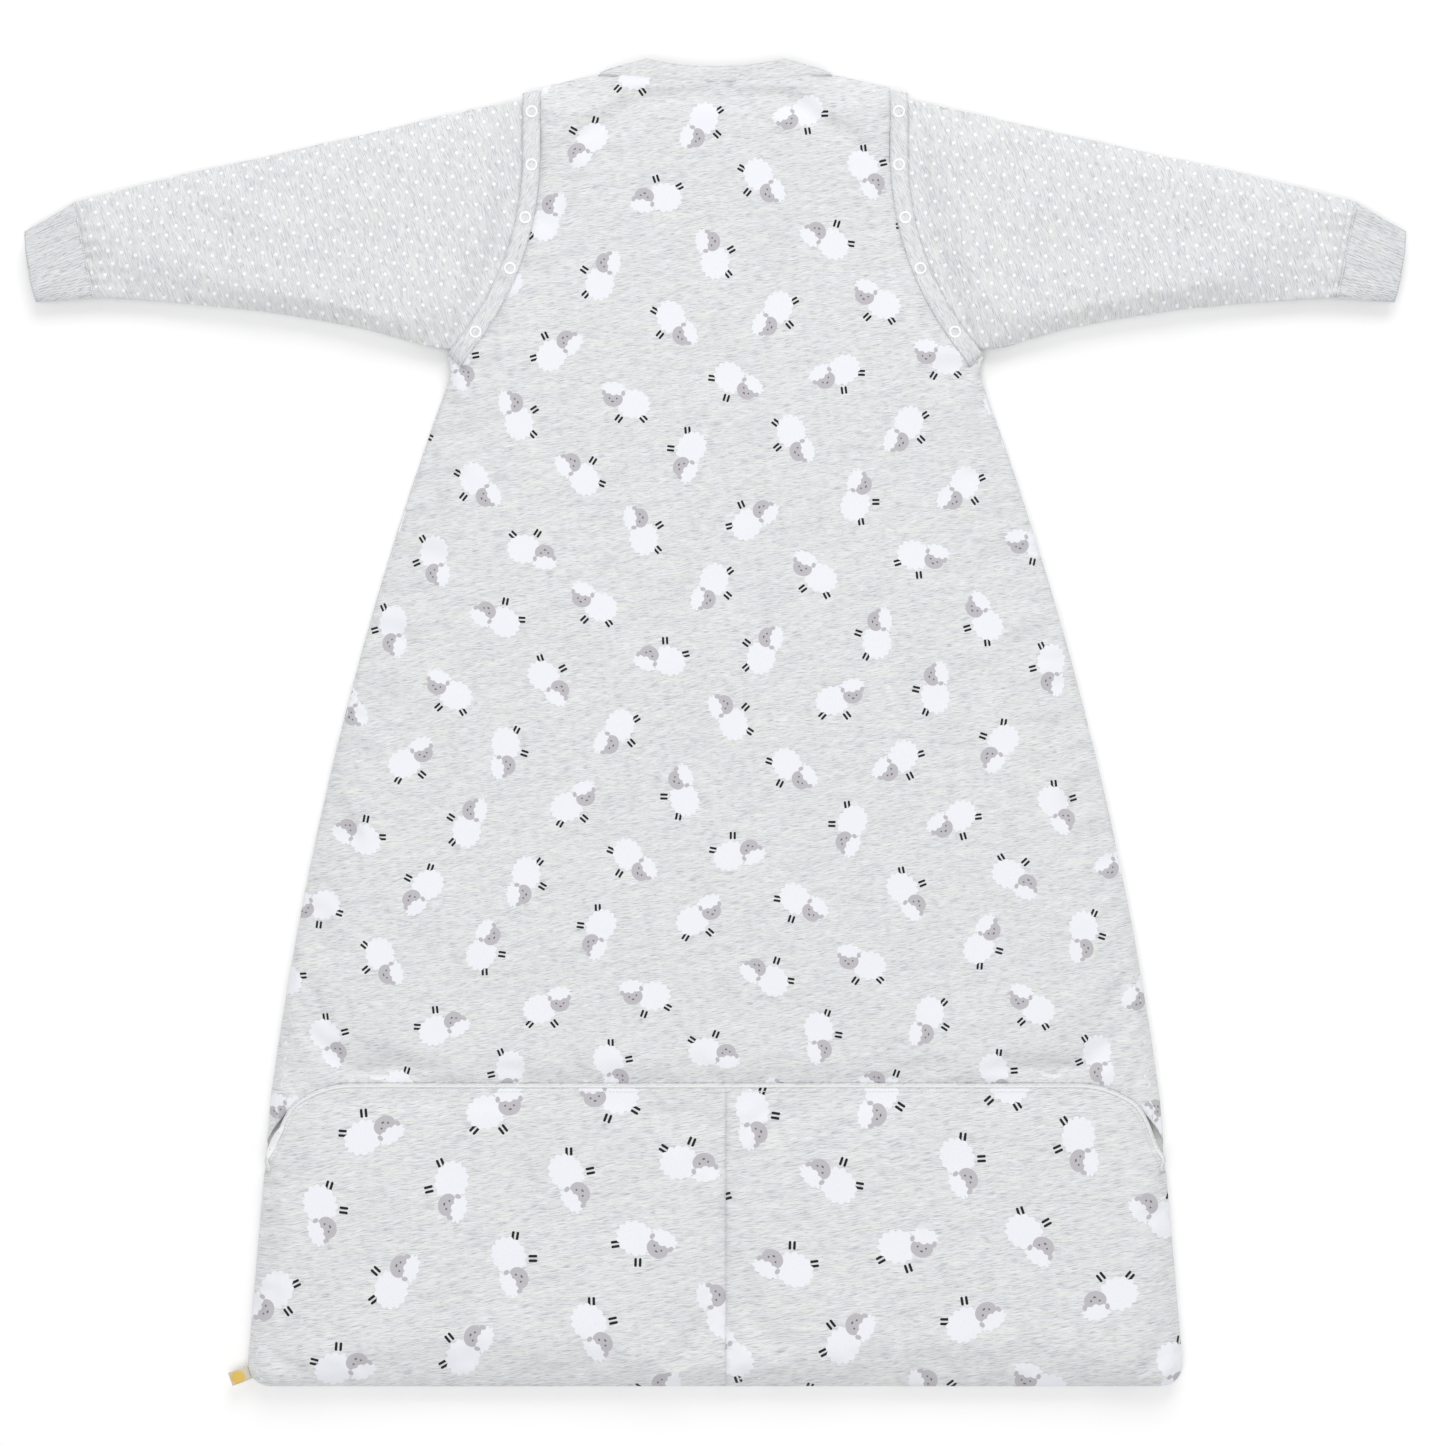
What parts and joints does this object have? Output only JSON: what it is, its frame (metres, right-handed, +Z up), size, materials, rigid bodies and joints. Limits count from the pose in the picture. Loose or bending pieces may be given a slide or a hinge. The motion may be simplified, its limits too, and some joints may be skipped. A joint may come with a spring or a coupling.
{
  "type": "baby sleeping bag",
  "caption": "Wadded A-line sleeping bag with detachable press-studded long sleeves, front zip, and a foot flap closed by a second zip, lying flat on its front.",
  "frame": {"origin": "middle of the flat footprint, on the surface that the bag lies on", "axes": "+X across the bag along the sleeves, +Y from the hem to the neck, +Z up from the front of the bag to its back"},
  "size_m": [1.147, 1.1, 0.0276],
  "materials": {
    "printed_jersey": "soft jersey, light grey melange with a printed motif",
    "dotted_jersey": "soft jersey, light grey melange with small white dots",
    "plain_jersey": "plain light grey melange jersey",
    "cuff_rib": "knitted cuff, light grey melange",
    "lining_jersey": "smooth white cotton jersey",
    "wadding": "lofted white polyester wadding",
    "zip_tape": "woven white zip tape",
    "zip_coil": "moulded white nylon coil",
    "zip_metal": "white lacquered zinc",
    "stud_enamel": "white enamelled metal",
    "stud_metal": "nickel plated brass",
    "ribbon": "woven ribbon, cream and ochre"
  },
  "bodies": {
    "bag": {"back_shell": "printed_jersey", "back_wadding": "wadding", "back_lining": "lining_jersey", "front_shell_left": "printed_jersey", "front_wadding_left": "wadding", "front_lining_left": "lining_jersey", "foot_shell_left": "printed_jersey", "side_seam_left": "printed_jersey", "shoulder_seam_left": "printed_jersey", "armhole_binding_left": "plain_jersey", "neck_binding_front_left": "plain_jersey", "front_zip_teeth_left": "zip_coil", "front_zip_tape_left": "zip_tape", "press_stud_rings_left": "stud_enamel", "press_stud_sockets_left": "stud_metal", "front_shell_right": "printed_jersey", "front_wadding_right": "wadding", "front_lining_right": "lining_jersey", "foot_shell_right": "printed_jersey", "side_seam_right": "printed_jersey", "shoulder_seam_right": "printed_jersey", "armhole_binding_right": "plain_jersey", "neck_binding_front_right": "plain_jersey", "front_zip_teeth_right": "zip_coil", "front_zip_tape_right": "zip_tape", "press_stud_rings_right": "stud_enamel", "press_stud_sockets_right": "stud_metal", "foot_wadding": "wadding", "foot_lining": "lining_jersey", "hem_fold": "printed_jersey", "neck_binding_back": "plain_jersey", "front_zip_stops": "zip_metal", "front_zip_underlap": "lining_jersey", "foot_zip_teeth_upper": "zip_coil", "foot_zip_tape_upper": "zip_tape", "ribbon_tab": "ribbon"},
    "foot_flap": {"foot_flap_left": "printed_jersey", "foot_flap_right": "printed_jersey", "foot_flap_wadding": "wadding", "foot_flap_lining": "lining_jersey", "foot_zip_teeth_lower": "zip_coil", "foot_zip_tape_lower": "zip_tape"},
    "front_slider": {"front_zip_slider": "zip_metal"},
    "front_pull": {"front_zip_pull": "zip_metal"},
    "foot_slider": {"foot_zip_slider": "zip_metal"},
    "foot_pull": {"foot_zip_pull": "zip_metal"},
    "left_sleeve": {"sleeve_back_left": "dotted_jersey", "sleeve_front_left": "dotted_jersey", "sleeve_lining_left": "lining_jersey", "sleeve_seam_left": "dotted_jersey", "cuff_left": "cuff_rib", "sleeve_studs_left": "stud_metal", "sleeve_stud_backs_left": "stud_metal"},
    "right_sleeve": {"sleeve_back_right": "dotted_jersey", "sleeve_front_right": "dotted_jersey", "sleeve_lining_right": "lining_jersey", "sleeve_seam_right": "dotted_jersey", "cuff_right": "cuff_rib", "sleeve_studs_right": "stud_metal", "sleeve_stud_backs_right": "stud_metal"}
  },
  "joints": [
    {"name": "front_zip_slide", "type": "slide", "parent": "bag", "child": "front_slider", "axis": [0, -1, 0], "range_m": [0, 0.655]},
    {"name": "front_pull_hinge", "type": "hinge", "parent": "front_slider", "child": "front_pull", "pos_m": [0, 0.468, 0.0011], "axis": [1, 0, 0], "range_deg": [0, 170]},
    {"name": "foot_zip_slide", "type": "slide", "parent": "bag", "child": "foot_slider", "axis": [1, 0, 0], "range_m": [0, 0.582]},
    {"name": "foot_pull_hinge", "type": "hinge", "parent": "foot_slider", "child": "foot_pull", "pos_m": [-0.293, -0.304, 0.0265], "axis": [0, -1, 0], "range_deg": [0, 150]},
    {"name": "foot_flap_hinge", "type": "hinge", "parent": "bag", "child": "foot_flap", "pos_m": [0, -0.372, 0.028], "axis": [1, 0, 0], "range_deg": [0, 160]},
    {"name": "left_sleeve_slide", "type": "slide", "parent": "bag", "child": "left_sleeve", "axis": [-1, 0, 0], "range_m": [0, 0.1]},
    {"name": "right_sleeve_slide", "type": "slide", "parent": "bag", "child": "right_sleeve", "axis": [1, 0, 0], "range_m": [0, 0.1]}
  ]
}
